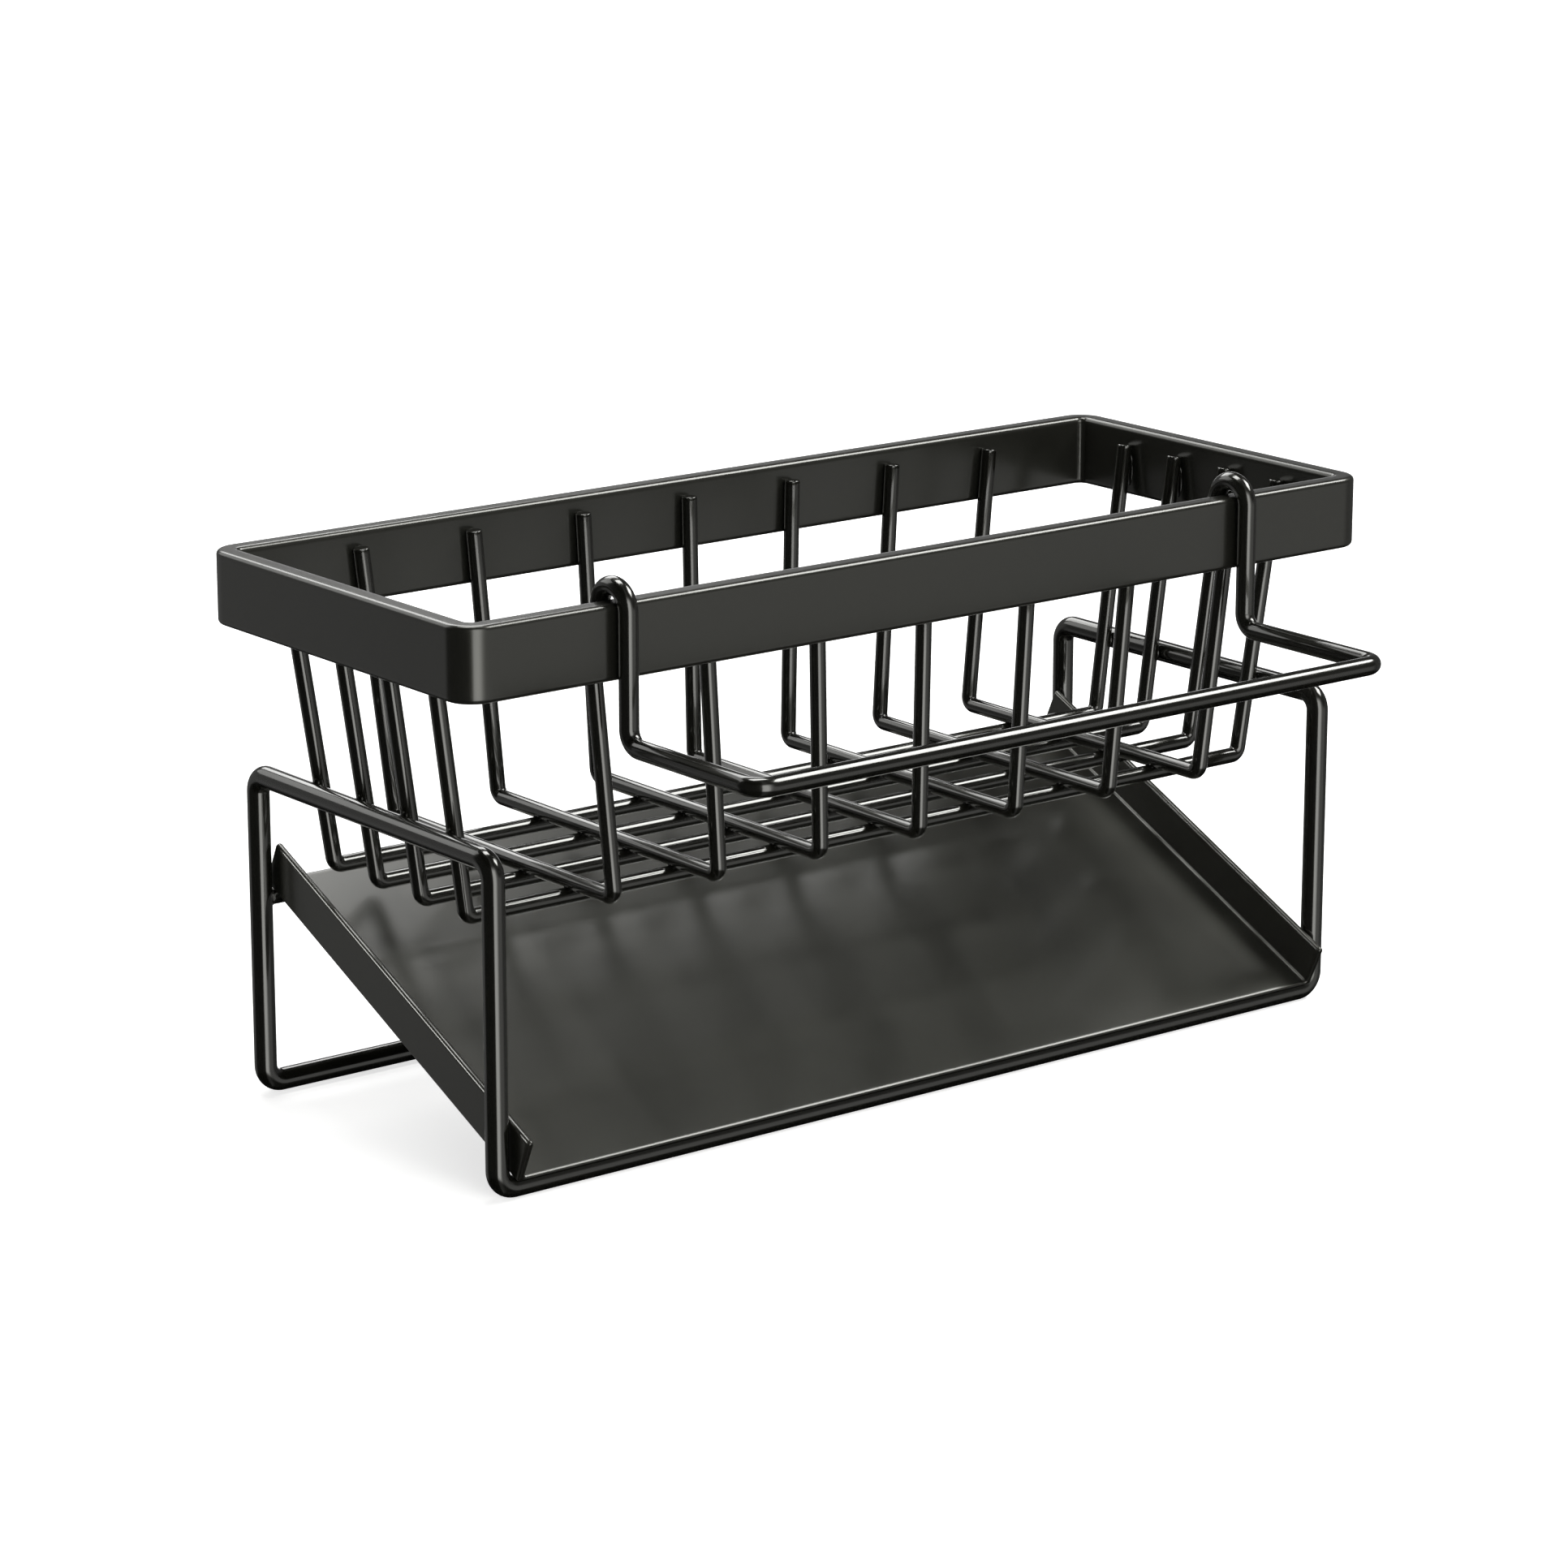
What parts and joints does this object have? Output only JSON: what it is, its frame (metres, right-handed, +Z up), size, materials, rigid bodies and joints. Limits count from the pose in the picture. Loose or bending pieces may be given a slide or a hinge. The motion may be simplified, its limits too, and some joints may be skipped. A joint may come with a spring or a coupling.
{
  "type": "sponge holder",
  "caption": "Free-standing black wire sponge basket under a flat rim, on a bent wire stand, with a sloping pull-out drip tray and a hook-on towel rail.",
  "frame": {"origin": "on the ground, under the middle of the rim", "axes": "+X along the rim to the viewer's right when facing the front, +Y to the back, +Z up"},
  "size_m": [0.23, 0.1339, 0.1189],
  "materials": {
    "rim_coat": "satin black coat on flat steel bar",
    "basket_coat": "semi-gloss black coat on steel wire",
    "stand_coat": "semi-gloss black coat on steel wire",
    "tray_coat": "satin black coat on steel sheet",
    "towel_rail_coat": "semi-gloss black coat on steel wire"
  },
  "bodies": {
    "holder": {"rim_band": "rim_coat", "cross_wire_1": "basket_coat", "cross_wire_2": "basket_coat", "cross_wire_3": "basket_coat", "cross_wire_4": "basket_coat", "cross_wire_5": "basket_coat", "cross_wire_6": "basket_coat", "cross_wire_7": "basket_coat", "long_wire_1": "basket_coat", "long_wire_2": "basket_coat", "long_wire_3": "basket_coat", "long_wire_4": "basket_coat", "stand_frame": "stand_coat", "tray_rest_bar": "stand_coat"},
    "drip_tray": {"drip_tray": "tray_coat"},
    "towel_rail": {"towel_rail": "towel_rail_coat"}
  },
  "joints": [
    {"name": "towel_rail_lift", "type": "slide", "parent": "holder", "child": "towel_rail", "axis": [0, 0, 1], "range_m": [0, 0.045]},
    {"name": "drip_tray_pull", "type": "slide", "parent": "holder", "child": "drip_tray", "axis": [0, -1, 0], "range_m": [0, 0.1]}
  ]
}
